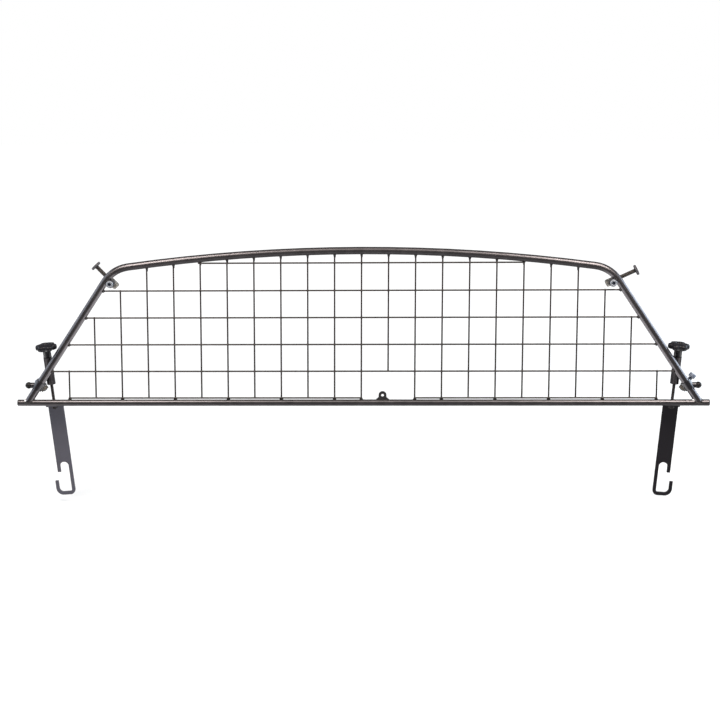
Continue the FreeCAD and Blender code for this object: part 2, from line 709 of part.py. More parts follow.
def hook_plate(side_name, side):
    """Flat bar with a flange bent forward at its top and the J-shaped hook cut in its lower end."""
    plate = body("hook_plate_" + side_name)
    back = "(Sizes.plate_setback + Sizes.plate_thickness)"
    front = "Sizes.plate_setback"
    thick = "Sizes.plate_thickness"
    bend = "Sizes.plate_bend"
    join = "(Sizes.plate_length - Sizes.slot_top - Sizes.hook_bar)"
    bent = sketch_on(plate, "YZ_Plane", "bend")
    outline(bent, [
        ("-Sizes.flange_reach", "0"),
        ("%s - %s - %s" % (back, bend, thick), "0"),
        (back, "-%s - %s" % (bend, thick),
         "%s - %s - %s" % (back, bend, thick), "-%s - %s" % (bend, thick), -1),
        (back, "-" + join),
        (front, "-" + join),
        (front, "-%s - %s" % (bend, thick)),
        ("%s - %s" % (front, bend), "-" + thick, "%s - %s" % (front, bend), "-%s - %s" % (bend, thick), 1),
        ("-Sizes.flange_reach", "-" + thick),
    ])
    pad(plate, bent, "Sizes.plate_width", symmetric=True)
    half = "Sizes.plate_width / 2"
    bar = "Sizes.hook_bar"
    slot = "Layout.slot_width / 2"
    low = "-Sizes.plate_length"
    heel = "Sizes.hook_heel"
    toe = "Sizes.hook_toe"
    mouth = low + " + Sizes.mouth_top"
    lip = mouth + " - Sizes.mouth_height"
    crown = "%s + Sizes.slot_top - %s" % (low, slot)

    def out(expression):
        return "%d * (%s)" % (side, expression)

    outer = "%s + Sizes.hook_step" % half
    inner = "%s + Sizes.hook_step - %s" % (half, bar)
    toe_x = out("%s - %s" % (outer, toe))
    heel_x = out("-%s + %s" % (half, heel))
    hook = sketch_on(plate, "XZ_Plane", "hook")
    outline(hook, [
        (out("-" + half), "-" + join),
        (out("-" + half), "%s + %s" % (low, heel)),
        (heel_x, low, heel_x, "%s + %s" % (low, heel), side),
        (toe_x, low),
        (out(outer), "%s + %s" % (low, toe), toe_x, "%s + %s" % (low, toe), side),
        (out(outer), lip),
        (out(inner), lip),
        (out(inner), "%s + %s" % (low, toe)),
        (toe_x, "%s + %s" % (low, bar), toe_x, "%s + %s" % (low, toe), -side),
        (heel_x, "%s + %s" % (low, bar)),
        (out("-%s + %s" % (half, bar)), "%s + %s" % (low, heel), heel_x, "%s + %s" % (low, heel), -side),
        (out("-%s + %s" % (half, bar)), crown),
        (out("%s - %s" % (half, bar)), crown, "0", crown, -side),
        (out("%s - %s" % (half, bar)), mouth),
        (out(half), mouth),
        (out(half), "-" + join),
    ])
    hook.setExpression("AttachmentOffset.Base.z", "-" + back)
    doc.recompute()
    pad(plate, hook, thick)
    hole = sketch_on(plate, "XY_Plane", "rod_hole")
    circle(hole, rod_bore())
    pocket(plate, hole, thick + " + Sizes.overrun")
    return on_hook_axis(plate, side_name, side, "-Sizes.flange_drop")


def roof_angle(side_name, side):
    """Rotation angle about Y that lays a piece's own X along the roof bolt."""
    angle = "Sizes.%s_roof_angle" % side_name
    return angle if side > 0 else "(180 - %s)" % angle


def at_pivot(item, side_name, side, along="0", y="0", extra=""):
    """Places a piece on the roof bolt's line, at a distance along it from the pivot."""
    angle = roof_angle(side_name, side)
    return place(
        item, "%d * Layout.pivot_x + cos(%s) * (%s)" % (side, angle, along), y,
        "Layout.pivot_z + sin(%s) * (%s)" % (angle, along),
        "rotation(0; -%s; 0)%s" % (angle, extra))


def roof_lug(side_name, side, envelope):
    """Short boss inside the shoulder bend, coped to the tube."""
    blank = part("Cylinder", "roof_lug_blank_" + side_name, Radius="Sizes.roof_lug_radius",
                 Height="2 * Layout.arch_outer")
    hole = part("Cylinder", "roof_lug_hole_" + side_name, Radius="Layout.cap_bore",
                Height="2 * Layout.arch_outer + 2 * Sizes.overrun")
    along_y = "rotation(vector(1; 0; 0); -90)"
    reach = "%d * Layout.pivot_x" % side
    place(blank, reach, "-Layout.arch_outer", "Layout.pivot_z", along_y)
    place(hole, reach, "-Layout.arch_outer - Sizes.overrun", "Layout.pivot_z", along_y)
    coped = combine("Cut", "roof_lug_coped_" + side_name, blank, envelope)
    return combine("Cut", "roof_lug_" + side_name, coped, hole)


def swivel_block(side_name, side):
    """Zinc block: a barrel with a blind bore for the roof bolt, and a boss against the lug."""
    block = body("swivel_block_" + side_name)
    radius = "Sizes.barrel_diameter / 2"
    floor = "-Sizes.barrel_inner + Sizes.barrel_end_wall"
    dome = "Sizes.barrel_dome"
    front = "Layout.block_front_depth"
    profile = sketch_on(block, "XY_Plane", "barrel")
    outline(profile, [
        ("-Sizes.barrel_inner", "0"),
        ("Sizes.barrel_outer", "0"),
        ("Sizes.barrel_outer", radius),
        ("-Sizes.barrel_inner + " + dome, radius),
        ("-Sizes.barrel_inner", "%s - %s" % (radius, dome),
         "-Sizes.barrel_inner + " + dome, "%s - %s" % (radius, dome), 1),
    ])
    revolve(block, profile, "H_Axis")
    boss = sketch_on(block, "XZ_Plane", "boss")
    circle(boss, radius)
    pad(block, boss, front)
    channel = sketch_on(block, "YZ_Plane", "bolt_bore")
    circle(channel, "Layout.bolt_bore")
    channel.setExpression("AttachmentOffset.Base.z", floor)
    doc.recompute()
    pocket(block, channel, "Sizes.barrel_outer - (%s) + Sizes.overrun" % floor, reverse=True)
    screw_hole = sketch_on(block, "XZ_Plane", "screw_hole")
    circle(screw_hole, "Layout.cap_bore")
    screw_hole.setExpression("AttachmentOffset.Base.z", front)
    doc.recompute()
    pocket(block, screw_hole, "Sizes.pivot_engagement + Sizes.seat_gap")
    return at_pivot(block, side_name, side, y="Layout.barrel_y")


def cap_screw(label, length):
    """Socket cap screw along its own Z, with its head above the origin and its shank below."""
    turned = body(label + "_blank")
    profile = sketch_on(turned, "XZ_Plane", "profile")
    head = "Sizes.cap_head_diameter / 2"
    shank = "Sizes.cap_thread / 2"
    edge = "Sizes.cap_chamfer"
    outline(profile, [
        ("0", "-" + length),
        ("%s - %s" % (shank, edge), "-" + length),
        (shank, "-%s + %s" % (length, edge)),
        (shank, "0"),
        (head, "0"),
        (head, "Sizes.cap_head_height - " + edge),
        ("%s - %s" % (head, edge), "Sizes.cap_head_height"),
        ("0", "Sizes.cap_head_height"),
    ])
    revolve(turned, profile)
    key = part("Prism", label + "_key", Circumradius="Sizes.cap_key_flats / 2 / cos(30)",
               Height="Sizes.cap_key_depth + Sizes.overrun")
    key.Polygon = 6
    place(key, z="Sizes.cap_head_height - Sizes.cap_key_depth")
    return combine("Cut", label, turned, key)


def pivot_screw(side_name, side):
    """Clamps the swivel block to the roof lug, with its head in front."""
    screw = cap_screw("pivot_screw_" + side_name, "Layout.pivot_screw_length")
    return place(screw, "%d * Layout.pivot_x" % side, "-Layout.arch_outer - Sizes.seat_gap",
                 "Layout.pivot_z", "rotation(vector(1; 0; 0); 90)")


def roof_bolt(side_name, side):
    """Starts past the pivot in the block's bore and ends in the foot's socket."""
    bolt = plain_rod("roof_bolt_" + side_name, "Sizes.roof_bolt_diameter", "Sizes.roof_bolt_length",
                     "Sizes.rod_chamfer")
    return at_pivot(bolt, side_name, side, "-Sizes.%s_bolt_depth" % side_name, "Layout.barrel_y",
                    " * rotation(vector(0; 1; 0); 90)")


def roof_foot(side_name, side):
    """Round foot that presses on the roof lining, with a socket for the bolt's end."""
    foot = body("roof_foot_" + side_name)
    profile = sketch_on(foot, "XZ_Plane", "profile")
    rim = "Sizes.roof_foot_diameter / 2"
    edge = "Sizes.roof_foot_rounding"
    socket = "Sizes.roof_bolt_diameter / 2 + Sizes.running_clearance"
    thick = "Sizes.roof_foot_thickness"
    outline(profile, [
        ("0", "-%s + Sizes.roof_foot_socket" % thick),
        (socket, "-%s + Sizes.roof_foot_socket" % thick),
        (socket, "-" + thick),
        ("%s - %s" % (rim, edge), "-" + thick),
        (rim, "-%s + %s" % (thick, edge), "%s - %s" % (rim, edge), "-%s + %s" % (thick, edge), 1),
        (rim, "-" + edge),
        ("%s - %s" % (rim, edge), "0", "%s - %s" % (rim, edge), "-" + edge, 1),
        ("0", "0"),
    ])
    revolve(foot, profile)
    face = "Sizes.roof_bolt_length - Sizes.%s_bolt_depth + Sizes.seat_gap" \
           " + Sizes.roof_foot_thickness - Sizes.roof_foot_socket" % side_name
    return at_pivot(foot, side_name, side, face, "Layout.barrel_y", " * rotation(vector(0; 1; 0); 90)")


def leg_turn(side, more="0"):
    """Rotation that lays a piece's own Z along the leg, or turned outward from it."""
    return "rotation(0; %d * (Sizes.leg_lean + %s); 0)" % (-side, more)


def on_leg(side, y="0", out="0"):
    """Vector expression for the clamp's place on the leg, moved level by out."""
    height = "Layout.%s_clamp_height" % SIDE_NAMES[side]
    return "vector(%d * (Sizes.foot_reach - %s * sin(Sizes.leg_lean) + %s); %s; %s * cos(Sizes.leg_lean))" \
        % (side, height, out, y, height)


def centred(item, side, turn, x, y, z):
    """Places a piece whose own corner or base stands off the clamp's centre."""
    item.setExpression(
        "Placement", "placement(%s; %s) * placement(vector(%s; %s; %s); rotation(0; 0; 0))"
        % (on_leg(side), turn, x, y, z))
    return item


def buffer_clamp(side_name, side):
    """Split clamp: a band round the leg, two cheeks behind it and a level boss outward."""
    def named(piece):
        return "clamp_%s_%s" % (piece, side_name)

    square = leg_turn(side)
    skewed = leg_turn(side, "Sizes.clamp_skew")
    width = "Sizes.strap_width"
    long = "(4 * %s)" % width
    high = "Sizes.cheek_height"
    outer = "Sizes.%s_cheek_outer" % side_name
    start = "-Sizes.cheek_inner" if side > 0 else "-" + outer
    band = part("Cylinder", named("band"), Radius="Layout.strap_outer", Height=width)
    centred(band, side, square, "0", "0", "-%s / 2" % width)
    cheeks = part("Box", named("cheeks"), Length="Sizes.cheek_inner + " + outer,
                  Width="Layout.clamp_back - Sizes.cheek_front", Height=high)
    centred(cheeks, side, skewed, start, "Sizes.cheek_front", "-%s / 2" % high)
    boss = part("Cylinder", named("boss"), Radius="Sizes.buffer_boss / 2", Height="Layout.boss_end")
    beside_leg(boss, side, "0")
    leg = part("Cylinder", named("leg"), Radius="Layout.strap_inner", Height=long)
    centred(leg, side, square, "0", "0", "-%s / 2" % long)
    slit = part("Box", named("slit"), Length="Sizes.clamp_slit", Width="Layout.clamp_back + Sizes.overrun",
                Height=long)
    centred(slit, side, square, "-Sizes.clamp_slit / 2", "0", "-%s / 2" % long)
    screw = part("Cylinder", named("screw_bore"), Radius="Layout.cap_bore", Height=long)
    screw.setExpression(
        "Placement", "placement(%s; %s) * placement(vector(-%s / 2; 0; 0); rotation(vector(0; 1; 0); 90))"
        % (on_leg(side, "Layout.clamp_screw_y"), skewed, long))
    stud = part("Cylinder", named("stud_bore"), Radius="Sizes.stud_diameter / 2", Height="Sizes.buffer_reach")
    beside_leg(stud, side, "0")
    solid = combine("Fuse", named("solid"), combine("Fuse", named("body"), band, cheeks), boss)
    for number, tool in enumerate((leg, slit, screw)):
        solid = combine("Cut", named("cut_%d" % number), solid, tool)
    return combine("Cut", "buffer_clamp_" + side_name, solid, stud)


def along_clamp_screw(item, side, out):
    """Places a piece on the clamp screw's axis, its own Z outward and a flat side upward."""
    item.setExpression(
        "Placement", "placement(%s; %s) * placement(vector(%d * (%s); 0; 0); rotation(vector(0; 1; 0); %d))"
        " * placement(vector(0; 0; 0); rotation(vector(0; 0; 1); 30))"
        % (on_leg(side, "Layout.clamp_screw_y"), leg_turn(side, "Sizes.clamp_skew"), side, out, 90 * side))
    return item


def clamp_screw(side_name, side):
    stand = "Sizes.%s_screw_stand" % side_name
    outer = "Sizes.%s_cheek_outer" % side_name
    length = "(%s + Sizes.cheek_inner + Sizes.clamp_nut_height + 2 * Sizes.seat_gap + %s" \
             " + Sizes.overrun)" % (outer, stand)
    screw = cap_screw("clamp_screw_" + side_name, length)
    return along_clamp_screw(screw, side, "%s + %s" % (outer, stand))


def clamp_nut(side_name, side):
    nut = hex_nut("clamp_nut_" + side_name, "Sizes.clamp_nut_flats", "Sizes.clamp_nut_height",
                  "Sizes.cap_thread / 2")
    return along_clamp_screw(nut, side, "-Sizes.cheek_inner - Sizes.seat_gap - Sizes.clamp_nut_height")


def beside_leg(item, side, out):
    """Places a piece on the buffer's level axis, its own Z outward."""
    item.setExpression(
        "Placement", "placement(%s; rotation(vector(0; 1; 0); %d))" % (on_leg(side, out=out), 90 * side))
    return item


def buffer_stud(side_name, side):
    """Short stud from the clamp's boss into the rubber tip."""
    start = "Layout.strap_inner / cos(Sizes.leg_lean) + Sizes.stud_diameter / 2 * tan(Sizes.leg_lean)" \
            " + Sizes.seat_gap"
    stud = plain_rod("buffer_stud_" + side_name, "Sizes.stud_diameter",
                     "Sizes.buffer_reach - (%s)" % start, "Sizes.rod_chamfer")
    return beside_leg(stud, side, start)


def buffer_tip(side_name, side):
    """Rubber ball on a short neck, with a dimple in its crown."""
    tip = body("buffer_tip_" + side_name)
    profile = sketch_on(tip, "XZ_Plane", "profile")
    ball = "Sizes.buffer_ball / 2"
    neck = "Sizes.buffer_boss / 2"
    stud = "Sizes.stud_diameter / 2"
    dimple = "Sizes.buffer_dimple / 2"
    shoulder = "-sqrt((%s) ^ 2 - (%s) ^ 2)" % (ball, neck)
    crown = "sqrt((%s) ^ 2 - (%s) ^ 2)" % (ball, dimple)
    outline(profile, [
        ("0", "0"),
        (stud, "0"),
        (stud, "-Sizes.buffer_neck"),
        (neck, "-Sizes.buffer_neck"),
        (neck, shoulder),
        (dimple, crown, "0", "0", 1),
        (dimple, "%s - %s" % (ball, dimple)),
        ("0", "%s - %s" % (ball, dimple)),
    ])
    revolve(tip, profile)
    return beside_leg(tip, side, "Sizes.buffer_reach")


def build():
    """Every node, in the order frame, hook units, roof supports, buffers."""
    envelope = arch_pipe("arch_envelope", hollow=False)
    nodes = [cross_tube(), arch_tube(), mesh_uprights(), mesh_rails(), divider_lug()]
    for side_name, side in SIDES:
        nodes.append(tube_plug(side_name, side))
        nodes.append(roof_lug(side_name, side, envelope))
        for maker in (hook_sleeve, knob, knob_insert, hook_rod, hook_nuts, hook_plate,
                      swivel_block, pivot_screw, roof_bolt, roof_foot,
                      buffer_clamp, clamp_screw, clamp_nut, buffer_stud, buffer_tip):
            nodes.append(maker(side_name, side))
    return nodes


nodes = build()
doc.recompute()
for item in doc.Objects:
    if "Invalid" in item.State or "Error" in item.State:
        raise ValueError("%s is %s" % (item.Label, item.State))
for node in nodes:
    if node.Shape.isNull() or not node.Shape.isValid():
        raise ValueError("%s has no valid shape" % node.Label)
for node in nodes:
    node.Shape.exportStep("parts/%s.step" % node.Label)
print("%d nodes, %d solids" % (len(nodes), sum(len(node.Shape.Solids) for node in nodes)))
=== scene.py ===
import json
import math
import random

import bmesh
import bpy
from mathutils import Matrix, Vector


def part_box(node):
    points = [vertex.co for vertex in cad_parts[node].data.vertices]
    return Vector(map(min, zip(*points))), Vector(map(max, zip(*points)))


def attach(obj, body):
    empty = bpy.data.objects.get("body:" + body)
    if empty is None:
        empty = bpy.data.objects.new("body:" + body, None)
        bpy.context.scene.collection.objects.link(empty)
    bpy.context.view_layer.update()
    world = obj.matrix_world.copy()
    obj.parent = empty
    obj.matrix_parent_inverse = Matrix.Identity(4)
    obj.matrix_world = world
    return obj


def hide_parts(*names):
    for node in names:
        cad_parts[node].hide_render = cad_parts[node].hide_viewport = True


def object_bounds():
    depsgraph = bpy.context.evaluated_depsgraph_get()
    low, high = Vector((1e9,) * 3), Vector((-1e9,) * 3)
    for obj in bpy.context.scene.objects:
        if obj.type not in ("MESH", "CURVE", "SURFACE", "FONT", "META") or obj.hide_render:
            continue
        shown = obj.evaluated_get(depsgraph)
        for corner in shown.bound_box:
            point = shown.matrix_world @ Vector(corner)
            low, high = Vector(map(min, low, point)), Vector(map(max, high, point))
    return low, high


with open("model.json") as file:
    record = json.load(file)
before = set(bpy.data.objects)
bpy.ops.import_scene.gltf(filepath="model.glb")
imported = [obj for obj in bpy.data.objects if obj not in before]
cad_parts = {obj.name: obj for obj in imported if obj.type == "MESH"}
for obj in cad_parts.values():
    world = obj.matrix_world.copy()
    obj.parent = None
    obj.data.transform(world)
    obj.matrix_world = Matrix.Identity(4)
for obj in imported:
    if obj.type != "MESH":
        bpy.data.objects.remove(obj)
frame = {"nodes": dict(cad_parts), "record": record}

cad_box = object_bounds()
nodes = frame["nodes"]
joints = {joint["name"]: joint for joint in frame["record"]["behaviour"]["joints"]}
random.seed(7)
MM = 0.001
SIDES = (("left", -1), ("right", 1))

# Sizes in millimetres, as in the solid model
CROSS_RADIUS = 6.0
ARCH_RADIUS = 7.0
ARCH_BOW = 3230.0
LEAN = math.radians(33.75)
FOOT_REACH = 629.7
BEND_CENTRE = (424.85, 194.98)
BEND_RADIUS = 62.0
LUG_RADIUS = 7.5
HOOK_CROSS = {"left": 59.5, "right": 62.7}
ROD_RADIUS, ROD_PITCH = 3.0, 1.0
BOLT_RADIUS, BOLT_PITCH = 4.0, 1.25
KNOB_RADIUS, KNOB_LOBES, KNOB_HUB = 20.25, 6, 14.5
HEAD_RADIUS, HEAD_HEIGHT, KEY_FLATS, KEY_DEPTH = 6.5, 8.0, 6.0, 4.0
CLAMP_SKEW = math.radians(20)
# Arcs of each foot's weld bead, in steps of five degrees, that carry a painted highlight
HIGHLIGHT_ARC = {"left": (-10, 3), "right": (35, 46)}

# Stage, in metres
FLOOR_DROP = 0.015
CAMERA_PLACE = (0.09888, -2.94922, 0.54877)
CAMERA_FORWARD = (-0.03369, 0.98709, -0.15659)
CAMERA_RIGHT = (0.99943, 0.03307, -0.00657)


def linear(red, green, blue):
    """Linear colour from 0 to 255 display values."""
    def one(level):
        level /= 255
        return level / 12.92 if level <= 0.04045 else ((level + 0.055) / 1.055) ** 2.4
    return (one(red), one(green), one(blue), 1)


def surface(name, colour, roughness, metallic=0.0, coat=0.0, specular=0.5,
            grain=(700, 0.00005), blotch=(40, 0.12), uneven=0.08):
    """A finish with fine grain in its relief, soft blotches in its colour and uneven gloss.

    grain is the scale and height of the relief, blotch the scale and share of the colour change.
    """
    made = bpy.data.materials.new(name)
    made.use_nodes = True
    tree = made.node_tree
    shader = tree.nodes["Principled BSDF"]
    shader.inputs["Metallic"].default_value = metallic
    shader.inputs["Coat Weight"].default_value = coat
    shader.inputs["Coat Roughness"].default_value = 0.2
    shader.inputs["Specular IOR Level"].default_value = specular
    place = tree.nodes.new("ShaderNodeTexCoord")

    def noise(scale, detail):
        found = tree.nodes.new("ShaderNodeTexNoise")
        found.inputs["Scale"].default_value = scale
        found.inputs["Detail"].default_value = detail
        tree.links.new(place.outputs["Object"], found.inputs["Vector"])
        return found

    fine = noise(grain[0], 2)
    bump = tree.nodes.new("ShaderNodeBump")
    bump.inputs["Distance"].default_value = grain[1]
    tree.links.new(fine.outputs["Fac"], bump.inputs["Height"])
    tree.links.new(bump.outputs["Normal"], shader.inputs["Normal"])
    broad = noise(blotch[0], 3)
    tones = tree.nodes.new("ShaderNodeValToRGB")
    tones.color_ramp.elements[0].position = 0.3
    tones.color_ramp.elements[1].position = 0.7
    for element, share in zip(tones.color_ramp.elements, (1 - blotch[1], 1 + blotch[1])):
        element.color = (*[min(1, level * share) for level in colour[:3]], 1)
    tree.links.new(broad.outputs["Fac"], tones.inputs["Fac"])
    tree.links.new(tones.outputs["Color"], shader.inputs["Base Color"])
    gloss = tree.nodes.new("ShaderNodeMapRange")
    gloss.inputs["To Min"].default_value = roughness - uneven
    gloss.inputs["To Max"].default_value = roughness + uneven
    tree.links.new(broad.outputs["Fac"], gloss.inputs["Value"])
    tree.links.new(gloss.outputs["Result"], shader.inputs["Roughness"])
    return made


FINISH = {
    "tube_paint": surface("tube_paint", linear(80, 77, 79), 0.32, metallic=0.9, uneven=0.04,
                          grain=(520, 0.00001), blotch=(60, 0.12)),
    "wire_paint": surface("wire_paint", linear(46, 40, 38), 0.45, metallic=0.4, grain=(700, 0.00002)),
    "weld": surface("weld", linear(38, 35, 35), 0.55, metallic=0.4, grain=(500, 0.0002), blotch=(300, 0.3)),
    # Pale weld paint: a painted highlight on part of the foot beads
    "weld_painted_highlight": surface("weld_painted_highlight", linear(196, 194, 194), 0.45, metallic=0.2,
                           grain=(500, 0.0002), blotch=(250, 0.35)),
    # The two hook plates share one paint: the left copy is lighter as painted light, the right copy darker
    # as painted shade, for how the lamps fall on each plate
    "hook_paint_lit_left": surface("hook_paint_lit_left", linear(78, 77, 86), 0.5, specular=0.3,
                               grain=(900, 0.00003), blotch=(30, 0.06)),
    "hook_paint_shaded_right": surface("hook_paint_shaded_right", linear(22, 19, 24), 0.5, specular=0.2,
                                grain=(900, 0.00003), blotch=(30, 0.08)),
    "black_plastic": surface("black_plastic", linear(12, 11, 17), 0.42, specular=0.25,
                             grain=(1500, 0.00004), blotch=(120, 0.2)),
    # Painted shade for the inside of the screw sockets
    "socket_painted_shade": surface("socket_painted_shade", linear(52, 58, 74), 0.4, grain=(1100, 0.00004)),
    "rubber": surface("rubber", linear(18, 16, 16), 0.5, specular=0.2, grain=(1100, 0.00004)),
    "zinc": surface("zinc", linear(126, 123, 118), 0.5, metallic=0.3, grain=(900, 0.00008),
                    blotch=(150, 0.12)),
    "zinc_steel": surface("zinc_steel", linear(126, 130, 137), 0.45, metallic=0.4,
                          grain=(1200, 0.00002), blotch=(200, 0.1)),
    "blue_zinc": surface("blue_zinc", linear(104, 112, 128), 0.5, metallic=0.3,
                         grain=(1200, 0.00002), blotch=(200, 0.1)),
    "yellow_zinc": surface("yellow_zinc", linear(90, 85, 78), 0.45, metallic=0.3,
                           grain=(1200, 0.00002), blotch=(260, 0.15)),
    "steel": surface("steel", linear(120, 120, 122), 0.35, metallic=0.9, grain=(1200, 0.00002)),
    "dark_steel": surface("dark_steel", linear(56, 52, 52), 0.4, metallic=0.6, grain=(1000, 0.00003)),
    "bolt_steel": surface("bolt_steel", linear(60, 55, 53), 0.5, metallic=0.3, grain=(1000, 0.00003)),
    "foot_plastic": surface("foot_plastic", linear(62, 61, 65), 0.5, specular=0.3, grain=(1500, 0.00004)),
    "black_strap": surface("black_strap", linear(34, 32, 36), 0.3, metallic=0.5, coat=0.3,
                           grain=(900, 0.00003)),
}
# Lit and shaded copies of the hook paint: painted light and shade on the two plates
NODE_FINISH = {"hook_plate_left": "hook_paint_lit_left", "hook_plate_right": "hook_paint_shaded_right"}
for side_name, _ in SIDES:
    NODE_FINISH["hook_nuts_" + side_name] = "dark_steel"
    NODE_FINISH["roof_foot_" + side_name] = "foot_plastic"
    NODE_FINISH["buffer_clamp_" + side_name] = "black_strap"


for part in frame["record"]["subparts"]:
    part_mesh = nodes[part["node"]].data
    part_mesh.materials.clear()
    part_mesh.materials.append(FINISH[NODE_FINISH.get(part["node"], part["material_slot"])])


def add_piece(name, mesh, body, slot, finish=None, smooth=True):
    """A finished object in the frame, riding on a body."""
    made = bpy.data.objects.new(name, mesh)
    bpy.context.scene.collection.objects.link(made)
    mesh.materials.append(FINISH[finish or slot])
    for face in mesh.polygons:
        face.use_smooth = smooth
    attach(made, body)
    return made


def axis_frame(origin, direction):
    """Matrix that takes local Z to a direction at a point, both in metres."""
    turn = Vector((0, 0, 1)).rotation_difference(Vector(direction).normalized())
    return Matrix.Translation(Vector(origin)) @ turn.to_matrix().to_4x4()


def reach_along(node, origin, direction):
    """Lowest and highest distance of a node along an axis from a point on it, in millimetres."""
    unit = Vector(direction).normalized()
    along = [(vertex.co - Vector(origin)).dot(unit) / MM for vertex in nodes[node].data.vertices]
    return min(along), max(along)


def spun(name, rows, matrix, segments=32, ring_shape=False):
    """Mesh of rings about a matrix's Z, from rows of radius and height in millimetres.

    A radius may be a function of the angle. A ring shape joins the last ring to the first.
    """
    mesh = bpy.data.meshes.new(name)
    build = bmesh.new()
    rings = []
    for radius, height in rows:
        ring = []
        for step in range(segments):
            angle = 2 * math.pi * step / segments
            out = (radius(angle) if callable(radius) else radius) * MM
            ring.append(build.verts.new(
                matrix @ Vector((out * math.cos(angle), out * math.sin(angle), height * MM))))
        rings.append(ring)
    for low, high in zip(rings, rings[1:] + (rings[:1] if ring_shape else [])):
        for step in range(segments):
            follow = (step + 1) % segments
            build.faces.new((low[step], low[follow], high[follow], high[step]))
    if not ring_shape:
        build.faces.new(list(reversed(rings[0])))
        build.faces.new(rings[-1])
    bmesh.ops.recalc_face_normals(build, faces=build.faces)
    build.to_mesh(mesh)
    build.free()
    return mesh


def thread_rows(length, radius, pitch, end=0.8, rows_per_turn=8):
    """Rows of a round rod with a helical thread over its whole length."""
    depth, end_drop, flank = 0.6 * pitch, 0.8, 1.25
    count = int(length / pitch * rows_per_turn)

    def row(height):
        taper = min(1, min(height, length - height) / end)

        def out(angle):
            phase = (height / pitch - angle / (2 * math.pi)) % 1
            ridge = min(1, abs(2 * phase - 1) * flank)
            return radius - depth * (1 - ridge) - (1 - taper) * end_drop
        return out, height
    return [row(length * number / count) for number in range(count + 1)]


def threaded(name, matrix, low, high, radius, pitch):
    """Threaded rod between two distances along a matrix's Z."""
    return spun(name, thread_rows(high - low, radius, pitch),
                matrix @ Matrix.Translation((0, 0, low * MM)), 20)


def knob_rows(bottom, top):
    """Rows of a lobed hand knob over a round hub, hollow down its middle."""
    hub, hub_top, rim_top = 7.5, bottom + KNOB_HUB, top - 2.0
    lobe_depth, sharpness = 4.2, 1.5
    profile = (
        (4.5, bottom, 0), (hub - 0.6, bottom, 0), (hub, bottom + 0.6, 0), (hub, hub_top - 2.4, 0),
        (hub + 0.8, hub_top - 0.9, 0.1), (hub + 3.0, hub_top, 0.3), (KNOB_RADIUS - 3.2, hub_top + 0.2, 0.9),
        (KNOB_RADIUS - 1.0, hub_top + 1.0, 1), (KNOB_RADIUS - 0.2, hub_top + 2.6, 1),
        (KNOB_RADIUS, hub_top + 5.0, 1), (KNOB_RADIUS - 0.2, rim_top - 2.2, 1),
        (KNOB_RADIUS - 1.0, rim_top - 0.7, 1), (KNOB_RADIUS - 3.2, rim_top, 0.8),
        (KNOB_RADIUS - 8.0, top - 0.7, 0.3), (8.6, top - 0.4, 0), (7.4, top, 0), (6.0, top, 0),
        (5.5, top - 0.6, 0), (5.5, top - 5.0, 0), (4.5, top - 5.0, 0),
    )

    def row(radius, height, share):
        def out(angle):
            valley = ((1 - math.cos(KNOB_LOBES * angle)) / 2) ** sharpness
            return radius - lobe_depth * share * valley
        return out, height
    return [row(*place) for place in profile]


def hexagon(flats):
    """Radius of a hexagon by the angle."""
    def out(angle):
        return flats / 2 / math.cos((angle + math.pi / 6) % (math.pi / 3) - math.pi / 6)
    return out


def cap_screw_rows(low, high):
    """Rows of a socket cap screw: threaded shank, knurled head and hexagonal socket."""
    seat = high - HEAD_HEIGHT
    knurls, knurl_height = 40, 0.12

    def knurled(angle):
        return HEAD_RADIUS - knurl_height * (1 - math.cos(knurls * angle))

    shank = [(out, low + height) for out, height in thread_rows(seat - low, BOLT_RADIUS, BOLT_PITCH)]
    head = [
        (HEAD_RADIUS - 0.4, seat), (HEAD_RADIUS - 0.1, seat + 0.4), (knurled, seat + 0.8),
        (knurled, high - 1.2), (HEAD_RADIUS - 0.3, high - 0.9), (HEAD_RADIUS - 0.6, high - 0.3),
        (HEAD_RADIUS - 1.2, high), (KEY_FLATS / 2 + 1.0, high), (hexagon(KEY_FLATS + 0.8), high - 0.1),
        (hexagon(KEY_FLATS), high - 0.6), (hexagon(KEY_FLATS), high - KEY_DEPTH),
        (1.0, high - KEY_DEPTH - 0.8),
    ]
    return shank + head


def socket_rows(high):
    """Rows of a dark lining in a cap screw's socket: painted shade for the recess, where light does not
    reach.
    """
    wall, rim, floor_level = 0.4, 0.5, KEY_DEPTH - 0.1
    outer, inner = hexagon(KEY_FLATS - 0.04), hexagon(KEY_FLATS - 2 * wall)
    return [
        (outer, high - rim), (outer, high - floor_level), (wall, high - floor_level),
        (wall, high - floor_level + wall), (inner, high - floor_level + wall), (inner, high - rim),
    ]


def bead(name, points, radius, closed=False, finish="weld"):
    """Weld bead on the frame along points in millimetres, of uneven thickness."""
    curve = bpy.data.curves.new(name, "CURVE")
    curve.dimensions = "3D"
    curve.bevel_depth = radius * MM
    curve.bevel_resolution = 3
    curve.use_fill_caps = True
    line = curve.splines.new("POLY")
    line.points.add(len(points) - 1)
    line.use_cyclic_u = closed
    ripple, waves, jitter = 0.22, 2.1, 0.12
    for point, place in zip(line.points, points):
        point.co = (*[value * MM for value in place], 1)
        wave = ripple * math.sin(waves * len(points) * place[0])
        point.radius = 1 + wave + random.uniform(-jitter, jitter)
    made = bpy.data.objects.new(name, curve)
    bpy.context.scene.collection.objects.link(made)
    curve.materials.append(FINISH[finish])
    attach(made, "guard_frame")


